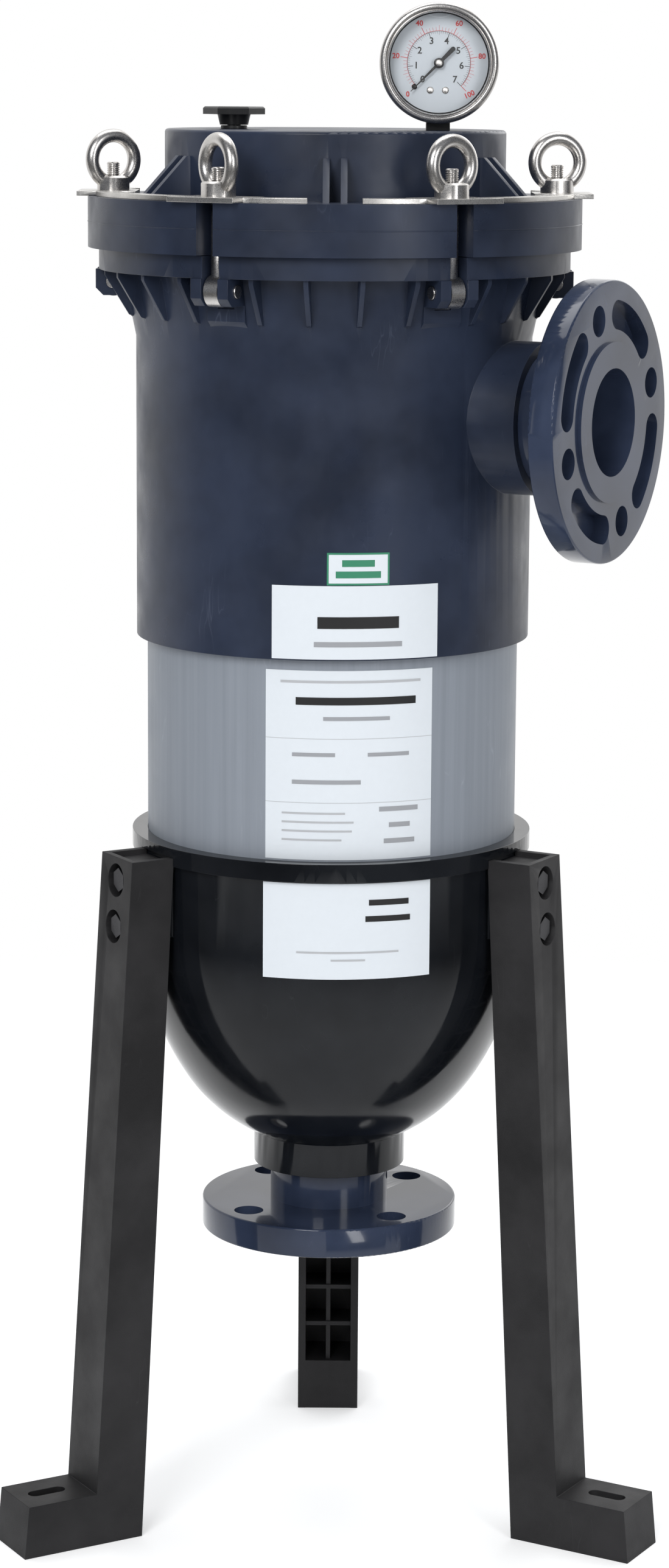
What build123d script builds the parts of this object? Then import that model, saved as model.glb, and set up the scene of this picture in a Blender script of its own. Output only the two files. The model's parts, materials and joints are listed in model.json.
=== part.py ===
from build123d import *
from math import acos, atan2, cos, degrees, radians, sin, sqrt
import os

# Bag filter housing for one seven inch bag: side inlet, bottom outlet, three legs.
# The vessel's axis is Z, the floor is z = 0, the front is -Y and +X is to the right.
# An azimuth is an angle in degrees from the front towards +X.

# Heights above the floor: the dome's spring line, then each step from it
dome_height = 369.0
dome_depth = 143.0
base_straight = 48.0
base_rim_height = 11.0
base_socket_depth = 38.0
pipe_length = 200.0
sleeve_overlap = 42.0
ledge_above_pipe = 50.0
nozzle_above_pipe = 94.0
cone_above_pipe = 138.0
lid_above_pipe = 190.5
lid_ring_height = 30.0
neck_height = 39.5
head_flange_thickness = 12.8
collar_below_dome = 10.0
outlet_neck = 23.0
hub_seat_step = 4.0

base_rim_bottom = dome_height + base_straight
base_rim_top = base_rim_bottom + base_rim_height
socket_floor = base_rim_top - base_socket_depth
pipe_top = socket_floor + pipe_length
sleeve_bottom = pipe_top - sleeve_overlap
bag_ledge_height = pipe_top + ledge_above_pipe
nozzle_height = pipe_top + nozzle_above_pipe
cone_bottom = pipe_top + cone_above_pipe
lid_ring_bottom = pipe_top + lid_above_pipe
lid_ring_top = lid_ring_bottom + lid_ring_height
lid_top = lid_ring_top + neck_height
collar_bottom = dome_height - dome_depth - collar_below_dome
outlet_rim_top = collar_bottom - outlet_neck

# Lid
neck_radius = 101.6
lid_radius = 147.5
lid_cavity_radius = 95.0
lid_wall = 8.0
rib_thickness = 3.8
rib_pair_spacing = 10.2
rib_root = 3.0
rib_top_reach = 2.0
lid_edge_round = 2.0
rib_reach = 26.4
rib_rise = 24.5
seat_gap = 0.3

# Swing bolt closure, M8
bolt_circle_radius = 132.4
bolt_radius = 4.0
bolt_tip_above_lid = 19.5
bolt_tip_height = lid_ring_top + bolt_tip_above_lid
bolt_slot_width = 11.0
bolt_eye_radius = 9.0
bolt_eye_thickness = 9.0
running_clearance = 0.05
hinge_pin_drop = 20.5
hinge_pin_height = lid_ring_bottom - hinge_pin_drop
hinge_pin_radius = 4.0
hinge_pin_stand_out = 1.0
eye_nut_height = 36.0
eye_nut_ring_radius = 14.0
eye_nut_tube_radius = 4.0
eye_nut_base_radius = 10.0
eye_nut_base_height = 8.5
bolt_azimuths = (-150, -90, -30, 30, 90, 150)
eye_nut_base_chamfer = 1.2
eye_nut_base_corner = 11.0
eye_nut_turns = (20, 31, -56, 38, 14, -25)
bolt_tip_chamfer = 0.8
bolt_swing_room = 0.5
bolt_slot_overrun = 2.0

# Locking plates, 3 mm stainless sheet
plate_thickness = 3.0
plate_inner_radius = 129.5
plate_outer_radius = 143.0
plate_ear_inner = 118.0
plate_ear_outer = 153.0
plate_ear_width = 44.0
plate_end_gap = 31.0
plate_hole_clearance = 0.5

# Head
head_flange_radius = 141.0
head_bore_radius = 106.0
ledge_radius = 98.0
sleeve_radius = 119.0
cone_top_radius = 127.0
lug_thickness = 7.0
lug_radius = 142.5
lug_drop = 15.7
lug_chamfer = 4.5
block_radius = 124.0
block_drop = 29.5
gusset_thickness = 3.0
gusset_radius = 138.5
gusset_edge = 3.0
lug_root_radius = 114.0
gusset_angles = (-20.0, -6.7, 6.7, 20.0)
oring_circle_radius = 114.0
oring_section_radius = 3.0
oring_groove_width = 7.0

# Pipe and base
pipe_radius = 112.5
pipe_wall = 6.0
socket_clearance = 0.1
base_radius = 118.5
base_wall = 6.0
base_rim_radius = 122.0
dome_side_radius = 172.0
collar_radius = 46.8
collar_height = 24.0
pad_clearance = 0.4
pad_root = 1.0
pad_height = 44.0

# Flanged ports, DN50 with four holes on 125 mm
nozzle_azimuth = 62.6
nozzle_first_hole_angle = 18.0
outlet_first_hole_angle = 52.0
port_room = 1.0
flange_edge_round = 1.2
boss_radius = 45.0
boss_end = 140.0
nozzle_socket_start = 120.0
nozzle_face = 183.4
nozzle_rim_radius = 82.5
nozzle_rim_thickness = 15.5
nozzle_hub_radius = 39.0
outlet_rim_radius = 79.0
outlet_rim_thickness = 18.0
outlet_hub_radius = 36.5
raised_face_radius = 46.8
raised_face_height = 2.0
port_radius = 31.5
port_hole_circle = 62.5
port_hole_radius = 9.0
pocket_width = 17.0
pocket_arc = 40.0
pocket_depth = 10.0

# Legs
leg_azimuths = {"left": -60, "right": 60, "back": 180}
leg_width = 40.0
leg_above_rim = 5.0
leg_top_inner = 119.4
leg_top_outer = 147.3
leg_low_inner = 142.0
leg_low_outer = 172.8
leg_recess = 3.0
leg_overcut = 1.0
leg_rib_inset = 3.0
leg_rib_margin = 2.0
leg_boss_wall = 2.0
leg_wall = 4.0
leg_side_wall = 5.0
leg_rib = 3.0
leg_rib_pitch = 26.0
leg_arch = 3.0
leg_floor = 34.0
foot_top = 32.5
foot_toe_top = 218.0
foot_toe = 221.3
foot_slot_radius = 197.0
foot_slot_length = 24.0
foot_slot_width = 8.5
leg_bolt_drop = 14.0
leg_bolt_spacing = 28.0
leg_bolt_head = 13.0
leg_bolt_head_height = 5.3
counterbore_radius = 10.0
counterbore_depth = 7.0
leg_bolt_end = 115.0

# Bag, basket and hold-down
seat_ring_thickness = 6.0
seat_ring_inner = 84.0
basket_radius = 81.0
basket_wall = 2.0
basket_flange_radius = 96.0
basket_flange_thickness = 3.0
basket_above_collar = 62.0
basket_columns = 10
basket_rows = 6
basket_window_width = 26.0
basket_window_height = 44.0
basket_window_pitch = 58.0
bag_thickness = 2.4
bag_clearance = 0.4
bag_ring_radius = 91.0
bag_ring_height = 8.0
bag_ring_round = 2.0
hold_ring_outer = 100.5
hold_ring_inner = 86.0
hold_foot_outer = 93.0
hold_foot_inner = 80.0
hold_bar_overlap = 1.0
hold_ring_height = 6.0
hold_post_radius = 4.0
hold_post_circle = 89.5
hold_bar_width = 12.0

# Pressure gauge, 63 mm class, bottom entry
gauge_x = 60.4
gauge_front = -36.0
gauge_clearance = 4.0
bezel_radius = 35.0
bezel_depth = 8.0
bezel_lip = 1.5
bezel_opening = 29.5
bezel_round = 2.5
case_radius = 33.2
case_depth = 32.0
case_wall = 1.5
case_round = 2.0
lens_thickness = 2.5
dial_depth = 12.5
dial_thickness = 0.8
dial_radius = 31.0
socket_width = 14.0
socket_below_centre = 12.0
socket_length_below_lid = 12.0
socket_thread_step = 1.0
socket_bore_radius = 2.5
socket_depth = 21.0
pointer_zero = 225.0
pointer_length = 23.0
pointer_tail = 9.0
pointer_width = 1.8
pointer_depth = 9.5
pointer_thickness = 0.6
pointer_hub_radius = 3.0
pointer_shaft_radius = 1.0
pointer_shaft_clearance = 0.3
pointer_shaft_length = 6.0
tube_circle_radius = 24.0
tube_wall = 4.0
tube_width = 8.0

# Vent
vent_x = -60.5
vent_stem_radius = 4.0
vent_insert_radius = 8.0
vent_insert_length = 14.0
vent_stem_short = 2.0
vent_seal_thickness = 2.0
vent_hub_height = 8.5
vent_hub_radius = 9.9
vent_neck_radius = 8.4
vent_plate_thickness = 4.5
vent_plate_chamfer = 1.0
vent_washer_margin = 0.5
vent_plate_radius = 18.5

# Heights and radii that follow from the ones above
head_flange_top = lid_ring_bottom - seat_gap
head_flange_bottom = head_flange_top - head_flange_thickness
plate_top = lid_ring_top + plate_thickness
lug_bottom = head_flange_bottom - lug_drop
leg_top = base_rim_bottom + leg_above_rim
leg_bolt_heights = (leg_top - leg_bolt_drop, leg_top - leg_bolt_drop - leg_bolt_spacing)
pad_radius = leg_top_inner - pad_clearance
hub_seat = collar_bottom + collar_height - hub_seat_step
basket_bottom = collar_bottom + basket_above_collar
gauge_height = lid_top + bezel_radius + gauge_clearance
socket_top = gauge_height - socket_below_centre
socket_end = lid_top - socket_length_below_lid
vent_insert_bottom = lid_top - vent_insert_length
vent_hub_top = lid_top + vent_hub_height
vent_plate_top = vent_hub_top + vent_plate_thickness
outlet_rim_bottom = outlet_rim_top - outlet_rim_thickness
seat_ring_top = bag_ledge_height + seat_ring_thickness
basket_seat = seat_ring_top + seat_gap
basket_flange_top = basket_seat + basket_flange_thickness
bag_ring_top = basket_flange_top + bag_ring_height
bag_radius = basket_radius - basket_wall - bag_clearance
crown_radius = (2 * dome_side_radius * base_radius - base_radius**2 - dome_depth**2) / (
    2 * (dome_side_radius - dome_depth)
)
crown_centre = dome_height - dome_depth + crown_radius

os.makedirs("parts", exist_ok=True)


def direction(azimuth):
    return sin(radians(azimuth)), -cos(radians(azimuth))


def radial_plane(azimuth, side=0.0):
    """Upright plane through the axis: x runs outwards, y runs up."""
    x, y = direction(azimuth)
    return Plane(origin=(0, 0, 0), x_dir=(x, y, 0), z_dir=(y, -x, 0)).offset(side)


def outward_plane(azimuth, height, distance):
    """Upright plane facing outwards: x runs up."""
    x, y = direction(azimuth)
    return Plane(origin=(x * distance, y * distance, height), x_dir=(0, 0, 1), z_dir=(x, y, 0))


def around(radius, azimuth, height=0.0, turn=0.0):
    """Place on a circle about the axis, with its own x pointing outwards."""
    x, y = direction(azimuth)
    return Location((x * radius, y * radius, height), (0, 0, azimuth - 90 + turn))


# Lid: a bell with a hollow neck, six pairs of ribs and six open bolt slots
with BuildPart() as lid:
    with BuildSketch(Plane.XZ):
        with BuildLine():
            Polyline(
                (0, lid_top),
                (neck_radius, lid_top),
                (neck_radius, lid_ring_top),
                (lid_radius, lid_ring_top),
                (lid_radius, lid_ring_bottom),
                (lid_cavity_radius, lid_ring_bottom),
                (lid_cavity_radius, lid_top - lid_wall),
                (0, lid_top - lid_wall),
                close=True,
            )
        make_face()
    revolve(axis=Axis.Z)
    fillet(lid.edges().filter_by(GeomType.CIRCLE).group_by(Axis.Z)[-1], radius=lid_edge_round)
    for bolt_azimuth in bolt_azimuths:
        for side in (-rib_pair_spacing / 2, rib_pair_spacing / 2):
            with BuildSketch(radial_plane(bolt_azimuth + 30, side)):
                with BuildLine():
                    Polyline(
                        (neck_radius - rib_root, lid_ring_top),
                        (neck_radius + rib_reach, lid_ring_top),
                        (neck_radius + rib_top_reach, lid_ring_top + rib_rise),
                        (neck_radius - rib_root, lid_ring_top + rib_rise),
                        close=True,
                    )
                make_face()
            extrude(amount=rib_thickness / 2, both=True)
    with BuildSketch(Plane.XY.offset(lid_ring_bottom)):
        for bolt_azimuth in bolt_azimuths:
            with Locations(around(bolt_circle_radius, bolt_azimuth)):
                Circle(bolt_slot_width / 2)
                Rectangle(lid_radius, bolt_slot_width, align=(Align.MIN, Align.CENTER))
    extrude(amount=lid_ring_top - lid_ring_bottom, mode=Mode.SUBTRACT)
    with Locations((gauge_x, gauge_front + socket_depth, lid_top)):
        Cylinder(socket_width / 2 - socket_thread_step, lid_wall * 3, mode=Mode.SUBTRACT)
    with Locations((vent_x, 0, lid_top)):
        Cylinder(vent_insert_radius, lid_wall * 3, mode=Mode.SUBTRACT)
lid.part.label = "lid"
export_step(lid.part, "parts/lid.step")

# Seal between lid and head
with BuildPart() as lid_o_ring:
    with Locations((0, 0, head_flange_top - oring_section_radius)):
        Torus(oring_circle_radius, oring_section_radius)
lid_o_ring.part.label = "lid_o_ring"
export_step(lid_o_ring.part, "parts/lid_o_ring.step")

# Three locking plates, each over two bolts, with ears round the bolt holes
for index, plate_azimuth in enumerate((-60, 60, 180), start=1):
    x, y = direction(plate_azimuth)
    plate_plane = Plane(origin=(0, 0, lid_ring_top), x_dir=(x, y, 0), z_dir=(0, 0, 1))
    wedge_tip = plate_end_gap / 2 / sin(radians(60))
    wedge_length = 2 * lid_radius
    with BuildPart() as locking_plate:
        with BuildSketch(plate_plane):
            Circle(plate_outer_radius)
            Circle(plate_inner_radius, mode=Mode.SUBTRACT)
            for bolt_angle in (-30, 30):
                with PolarLocations(0, 1, start_angle=bolt_angle):
                    with Locations((plate_ear_inner, 0)):
                        Rectangle(
                            plate_ear_outer - plate_ear_inner,
                            plate_ear_width,
                            align=(Align.MIN, Align.CENTER),
                        )
                    with Locations((bolt_circle_radius, 0)):
                        Circle(bolt_radius + plate_hole_clearance, mode=Mode.SUBTRACT)
            with BuildLine():
                Polyline(
                    (wedge_tip, 0),
                    (wedge_tip + wedge_length * cos(radians(60)), wedge_length * sin(radians(60))),
                    (2 * wedge_length, wedge_length * sin(radians(60))),
                    (2 * wedge_length, -wedge_length * sin(radians(60))),
                    (wedge_tip + wedge_length * cos(radians(60)), -wedge_length * sin(radians(60))),
                    close=True,
                )
            make_face(mode=Mode.INTERSECT)
        extrude(amount=plate_thickness)
    locking_plate.part.label = f"locking_plate_{index}"
    export_step(locking_plate.part, f"parts/locking_plate_{index}.step")

# Eye nuts and the swing bolts that they pull on
for index, (bolt_azimuth, turn) in enumerate(zip(bolt_azimuths, eye_nut_turns), start=1):
    x, y = (part * bolt_circle_radius for part in direction(bolt_azimuth))
    with BuildPart() as eye_nut:
        with BuildSketch(Plane.XY.offset(plate_top)):
            with Locations(Location((x, y, 0), (0, 0, turn))):
                RegularPolygon(eye_nut_base_corner, 6)
                Circle(eye_nut_base_radius, mode=Mode.INTERSECT)
        extrude(amount=eye_nut_base_height)
        chamfer(eye_nut.edges().group_by(Axis.Z)[-1], length=eye_nut_base_chamfer)
        with Locations(Location((x, y, plate_top + eye_nut_height / 2), (0, 0, turn))):
            Torus(eye_nut_ring_radius, eye_nut_tube_radius, rotation=(90, 0, 0))
        with Locations(around(bolt_circle_radius, bolt_azimuth, plate_top)):
            Cylinder(
                bolt_radius + running_clearance,
                eye_nut_height / 2,
                align=(Align.CENTER, Align.CENTER, Align.MIN),
                mode=Mode.SUBTRACT,
            )
    eye_nut.part.label = f"eye_nut_{index}"
    export_step(eye_nut.part, f"parts/eye_nut_{index}.step")

    with BuildPart() as swing_bolt:
        with Locations(around(bolt_circle_radius, bolt_azimuth, hinge_pin_height)):
            Cylinder(
                bolt_radius,
                bolt_tip_height - hinge_pin_height,
                align=(Align.CENTER, Align.CENTER, Align.MIN),
            )
        chamfer(swing_bolt.edges().group_by(Axis.Z)[-1], length=bolt_tip_chamfer)
        with Locations(around(bolt_circle_radius, bolt_azimuth, hinge_pin_height)):
            Cylinder(bolt_eye_radius, bolt_eye_thickness, rotation=(90, 0, 0))
            Cylinder(
                hinge_pin_radius + running_clearance,
                bolt_eye_thickness,
                rotation=(90, 0, 0),
                mode=Mode.SUBTRACT,
            )
    swing_bolt.part.label = f"swing_bolt_{index}"
    export_step(swing_bolt.part, f"parts/swing_bolt_{index}.step")

with BuildPart() as hinge_pins:
    for bolt_azimuth in bolt_azimuths:
        with Locations(around(bolt_circle_radius, bolt_azimuth, hinge_pin_height)):
            Cylinder(
                hinge_pin_radius,
                bolt_slot_width + 2 * (lug_thickness + hinge_pin_stand_out),
                rotation=(90, 0, 0),
            )
hinge_pins.part.label = "hinge_pins"
export_step(hinge_pins.part, "parts/hinge_pins.step")

# Head: flange, clevis lugs, gussets and sleeve, with the inlet boss on its side
with BuildPart() as upper_body:
    with BuildSketch(Plane.XZ):
        with BuildLine():
            Polyline(
                (0, sleeve_bottom),
                (sleeve_radius, sleeve_bottom),
                (sleeve_radius, cone_bottom),
                (cone_top_radius, head_flange_bottom),
                (head_flange_radius, head_flange_bottom),
                (head_flange_radius, head_flange_top),
                (0, head_flange_top),
                close=True,
            )
        make_face()
    revolve(axis=Axis.Z)
    for bolt_azimuth in bolt_azimuths:
        for side in (-1, 1):
            with BuildSketch(radial_plane(bolt_azimuth, side * (bolt_slot_width + lug_thickness) / 2)):
                with BuildLine():
                    Polyline(
                        (lug_root_radius, head_flange_bottom),
                        (lug_radius, head_flange_bottom),
                        (lug_radius, lug_bottom + lug_chamfer),
                        (lug_radius - lug_chamfer, lug_bottom),
                        (lug_root_radius, lug_bottom),
                        close=True,
                    )
                make_face()
            extrude(amount=lug_thickness / 2, both=True)
        with BuildSketch(radial_plane(bolt_azimuth)):
            with BuildLine():
                Polyline(
                    (lug_root_radius, lug_bottom),
                    (block_radius, lug_bottom),
                    (block_radius, head_flange_bottom - block_drop + lug_chamfer),
                    (block_radius - lug_chamfer, head_flange_bottom - block_drop),
                    (lug_root_radius, head_flange_bottom - block_drop),
                    close=True,
                )
            make_face()
        extrude(amount=bolt_slot_width / 2 + lug_thickness, both=True)
        for gusset_angle in gusset_angles:
            with BuildSketch(radial_plane(bolt_azimuth + 30 + gusset_angle)):
                with BuildLine():
                    Polyline(
                        (lug_root_radius, head_flange_bottom),
                        (gusset_radius, head_flange_bottom),
                        (gusset_radius, head_flange_bottom - gusset_edge),
                        (block_radius, head_flange_bottom - block_drop + gusset_edge),
                        (lug_root_radius, head_flange_bottom - block_drop),
                        close=True,
                    )
                make_face()
            extrude(amount=gusset_thickness / 2, both=True)
    with BuildSketch(outward_plane(nozzle_azimuth, nozzle_height, 0)):
        Circle(boss_radius)
    extrude(amount=boss_end)
    with BuildSketch(Plane.XZ):
        with BuildLine():
            Polyline(
                (0, sleeve_bottom),
                (pipe_radius + socket_clearance, sleeve_bottom),
                (pipe_radius + socket_clearance, pipe_top),
                (pipe_radius - pipe_wall, pipe_top),
                (ledge_radius, pipe_top + pipe_wall),
                (ledge_radius, bag_ledge_height),
                (head_bore_radius, bag_ledge_height),
                (head_bore_radius, head_flange_top),
                (0, head_flange_top),
                close=True,
            )
        make_face()
    revolve(axis=Axis.Z, mode=Mode.SUBTRACT)
    with BuildSketch(Plane.XZ):
        with Locations((oring_circle_radius, head_flange_top)):
            Rectangle(
                oring_groove_width,
                2 * oring_section_radius + running_clearance,
                align=(Align.CENTER, Align.MAX),
            )
    revolve(axis=Axis.Z, mode=Mode.SUBTRACT)
    with BuildSketch(Plane.XY.offset(head_flange_top)):
        for bolt_azimuth in bolt_azimuths:
            with Locations(around(bolt_circle_radius - bolt_eye_radius - bolt_swing_room, bolt_azimuth)):
                Rectangle(lid_radius, bolt_slot_width, align=(Align.MIN, Align.CENTER))
    extrude(amount=-(head_flange_top - lug_bottom + bolt_slot_overrun), mode=Mode.SUBTRACT)
    for bolt_azimuth in bolt_azimuths:
        with Locations(around(bolt_circle_radius, bolt_azimuth, hinge_pin_height)):
            Cylinder(
                hinge_pin_radius + running_clearance,
                bolt_slot_width + 4 * lug_thickness,
                rotation=(90, 0, 0),
                mode=Mode.SUBTRACT,
            )
    with BuildSketch(outward_plane(nozzle_azimuth, nozzle_height, nozzle_socket_start)):
        Circle(nozzle_hub_radius + socket_clearance)
    extrude(amount=boss_end - nozzle_socket_start, mode=Mode.SUBTRACT)
    with BuildSketch(outward_plane(nozzle_azimuth, nozzle_height, 0)):
        Circle(port_radius + port_room)
    extrude(amount=boss_end, mode=Mode.SUBTRACT)
upper_body.part.label = "upper_body"
export_step(upper_body.part, "parts/upper_body.step")


def port_flange(face, rim_radius, rim_thickness, hub_radius, length, first_hole):
    """Flange with a hub: face is the plane of its raised face, looking outwards."""
    rim_face = face.offset(-raised_face_height)
    pocket_arcs = [
        CenterArc((0, 0), port_hole_circle, first_hole + turn - pocket_arc / 2, pocket_arc)
        for turn in (45, 135, 225, 315)
    ]
    with BuildPart() as flange:
        with BuildSketch(rim_face.offset(-rim_thickness)):
            Circle(rim_radius)
        extrude(amount=rim_thickness)
        fillet(flange.edges(), radius=flange_edge_round)
        with BuildSketch(face):
            Circle(raised_face_radius)
        extrude(amount=-raised_face_height - port_room)
        with BuildSketch(face):
            Circle(hub_radius)
        extrude(amount=-length)
        with BuildSketch(rim_face):
            with PolarLocations(port_hole_circle, 4, start_angle=first_hole):
                Circle(port_hole_radius)
        extrude(amount=-rim_thickness, mode=Mode.SUBTRACT)
        with BuildSketch(rim_face):
            for arc in pocket_arcs:
                SlotArc(arc, pocket_width)
        extrude(amount=-pocket_depth, mode=Mode.SUBTRACT)
        with BuildSketch(face):
            Circle(port_radius)
        extrude(amount=-length, mode=Mode.SUBTRACT)
    return flange


side_flange = port_flange(
    outward_plane(nozzle_azimuth, nozzle_height, nozzle_face),
    nozzle_rim_radius,
    nozzle_rim_thickness,
    nozzle_hub_radius,
    nozzle_face - nozzle_socket_start,
    first_hole=nozzle_first_hole_angle,
)
side_flange.part.label = "side_flange"
export_step(side_flange.part, "parts/side_flange.step")

bottom_flange = port_flange(
    Plane(origin=(0, 0, outlet_rim_bottom - raised_face_height), x_dir=(1, 0, 0), z_dir=(0, 0, -1)),
    outlet_rim_radius,
    outlet_rim_thickness,
    outlet_hub_radius,
    hub_seat - outlet_rim_bottom + raised_face_height,
    first_hole=outlet_first_hole_angle,
)
bottom_flange.part.label = "bottom_flange"
export_step(bottom_flange.part, "parts/bottom_flange.step")

# Grey pipe between the head and the base
with BuildPart() as body_pipe:
    with BuildSketch(Plane.XY.offset(socket_floor)):
        Circle(pipe_radius)
        Circle(pipe_radius - pipe_wall, mode=Mode.SUBTRACT)
    extrude(amount=pipe_top - socket_floor)
body_pipe.part.label = "body_pipe"
export_step(body_pipe.part, "parts/body_pipe.step")

def dome_rise(radius, inset):
    """Height of the dome's crown sphere at a radius, inset from its outer face."""
    return crown_centre - sqrt((crown_radius - inset) ** 2 - radius**2)


def dome_arcs(start_radius, inset):
    """Crown and side arc of the dome's section, from a radius up to the straight wall."""
    side = degrees(atan2(dome_depth - crown_radius, dome_side_radius - base_radius))
    start = degrees(acos(start_radius / (crown_radius - inset)))
    CenterArc((0, crown_centre), crown_radius - inset, -start, start - side)
    CenterArc((base_radius - dome_side_radius, dome_height), dome_side_radius - inset, -side, side)


# Base: socket for the pipe, domed bottom, outlet collar and three leg pads
with BuildPart() as lower_body:
    with BuildSketch(Plane.XZ):
        with BuildLine():
            dome_arcs(collar_radius, 0)
            Polyline(
                (base_radius, dome_height),
                (base_radius, base_rim_bottom),
                (base_rim_radius, base_rim_bottom),
                (base_rim_radius, base_rim_top),
                (pipe_radius + socket_clearance, base_rim_top),
                (pipe_radius + socket_clearance, socket_floor),
                (pipe_radius - pipe_wall, socket_floor),
                (base_radius - base_wall, socket_floor - pipe_wall),
                (base_radius - base_wall, dome_height),
            )
            dome_arcs(port_radius, base_wall)
            Polyline(
                (port_radius, dome_rise(port_radius, base_wall)),
                (port_radius, hub_seat),
                (outlet_hub_radius + socket_clearance, hub_seat),
                (outlet_hub_radius + socket_clearance, collar_bottom),
                (collar_radius, collar_bottom),
                (collar_radius, dome_rise(collar_radius, 0)),
            )
        make_face()
    revolve(axis=Axis.Z)
    for leg_azimuth in leg_azimuths.values():
        with BuildSketch(outward_plane(leg_azimuth, base_rim_bottom - pad_height / 2, leg_bolt_end - pad_root)):
            Rectangle(pad_height, leg_width - 2 * leg_side_wall)
        extrude(amount=pad_radius - leg_bolt_end + pad_root)
        with BuildSketch(outward_plane(leg_azimuth, base_rim_bottom + leg_above_rim / 2, pad_radius)):
            Rectangle(leg_above_rim + pad_clearance, leg_width + pad_clearance)
        extrude(amount=2 * base_rim_height, mode=Mode.SUBTRACT)
        for bolt_height in leg_bolt_heights:
            with BuildSketch(outward_plane(leg_azimuth, bolt_height, leg_bolt_end)):
                Circle(bolt_radius + running_clearance)
            extrude(amount=pad_radius - leg_bolt_end, mode=Mode.SUBTRACT)
lower_body.part.label = "lower_body"
export_step(lower_body.part, "parts/lower_body.step")


def leg_inner(height):
    return leg_low_inner + (leg_top_inner - leg_low_inner) * height / leg_top


def leg_outer(height):
    return leg_low_outer + (leg_top_outer - leg_low_outer) * (height - foot_top) / (leg_top - foot_top)


def build_leg(azimuth):
    """Moulded channel, open towards the vessel, with a recessed top and a slotted hollow foot."""
    inside_width = leg_width - 2 * leg_side_wall
    cavity_top = leg_top - leg_recess - leg_wall
    rib_count = int((leg_top - leg_floor) / leg_rib_pitch)
    with BuildPart() as leg:
        with BuildSketch(radial_plane(azimuth)):
            with BuildLine():
                Polyline(
                    (leg_inner(leg_top), leg_top),
                    (leg_outer(leg_top), leg_top),
                    (leg_outer(foot_top), foot_top),
                    (foot_toe_top, foot_top),
                    (foot_toe, 0),
                    (leg_low_inner, 0),
                    close=True,
                )
            make_face()
        extrude(amount=leg_width / 2, both=True)
        with BuildSketch(radial_plane(azimuth)):
            with BuildLine():
                Polyline(
                    (leg_inner(leg_top) - leg_overcut, cavity_top),
                    (leg_outer(leg_top) - leg_wall, cavity_top),
                    (leg_outer(leg_floor) - leg_wall, leg_floor + leg_wall),
                    (leg_inner(leg_floor) - leg_overcut, leg_floor),
                    close=True,
                )
            make_face()
        extrude(amount=inside_width / 2, both=True, mode=Mode.SUBTRACT)
        for rib in range(1, rib_count):
            height = leg_floor + leg_rib_pitch * rib
            middle = (leg_inner(height) + leg_outer(height)) / 2
            with Locations(around(middle, azimuth, height)):
                Box(leg_outer(height) - leg_inner(height) - 2 * leg_rib_margin, inside_width, leg_rib)
        with BuildSketch(radial_plane(azimuth)):
            with BuildLine():
                Polyline(
                    (leg_inner(leg_top) + leg_rib_inset, cavity_top),
                    (leg_outer(leg_top) - leg_wall, cavity_top),
                    (leg_outer(leg_floor) - leg_wall, leg_floor + leg_wall),
                    (leg_inner(leg_floor) + leg_rib_inset, leg_floor),
                    close=True,
                )
            make_face()
        extrude(amount=leg_rib / 2, both=True)
        for bolt_height in leg_bolt_heights:
            seat = leg_outer(bolt_height) - counterbore_depth
            with BuildSketch(outward_plane(azimuth, bolt_height, leg_inner(bolt_height))):
                Circle(counterbore_radius + leg_boss_wall)
            extrude(amount=leg_outer(bolt_height) - leg_inner(bolt_height) - leg_overcut)
            with BuildSketch(outward_plane(azimuth, bolt_height, seat)):
                Circle(counterbore_radius)
            extrude(amount=2 * counterbore_depth, mode=Mode.SUBTRACT)
            with BuildSketch(outward_plane(azimuth, bolt_height, 0)):
                Circle(bolt_radius + plate_hole_clearance)
            extrude(amount=leg_outer(bolt_height), mode=Mode.SUBTRACT)
        with BuildSketch(radial_plane(azimuth)):
            with BuildLine():
                Polyline(
                    (leg_outer(foot_top) + leg_wall, 0),
                    (foot_toe - leg_side_wall, 0),
                    (foot_toe_top - leg_side_wall, foot_top - leg_side_wall),
                    (leg_outer(foot_top) + leg_wall, foot_top - leg_side_wall),
                    close=True,
                )
            make_face()
        extrude(amount=inside_width / 2, both=True, mode=Mode.SUBTRACT)
        with BuildSketch(radial_plane(azimuth)):
            with BuildLine():
                Polyline(
                    (leg_low_inner, 0),
                    (leg_outer(foot_top) - leg_wall, 0),
                    (leg_outer(foot_top) - leg_wall, leg_arch),
                    (leg_low_inner, leg_arch),
                    close=True,
                )
            make_face()
        extrude(amount=inside_width / 2, both=True, mode=Mode.SUBTRACT)
        with BuildSketch(radial_plane(azimuth)):
            with BuildLine():
                Polyline(
                    (leg_inner(leg_top) - leg_overcut, leg_top),
                    (leg_outer(leg_top) - leg_wall, leg_top),
                    (leg_outer(leg_top) - leg_wall, leg_top - leg_recess),
                    (leg_inner(leg_top) - leg_overcut, leg_top - leg_recess),
                    close=True,
                )
            make_face()
        extrude(amount=inside_width / 2, both=True, mode=Mode.SUBTRACT)
        with BuildSketch(Plane.XY.offset(foot_top)):
            with Locations(around(foot_slot_radius, azimuth)):
                SlotOverall(foot_slot_length, foot_slot_width)
        extrude(amount=-foot_top, mode=Mode.SUBTRACT)
    return leg


for leg_name, leg_azimuth in leg_azimuths.items():
    leg = build_leg(leg_azimuth)
    leg.part.label = f"leg_{leg_name}"
    export_step(leg.part, f"parts/leg_{leg_name}.step")

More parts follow.
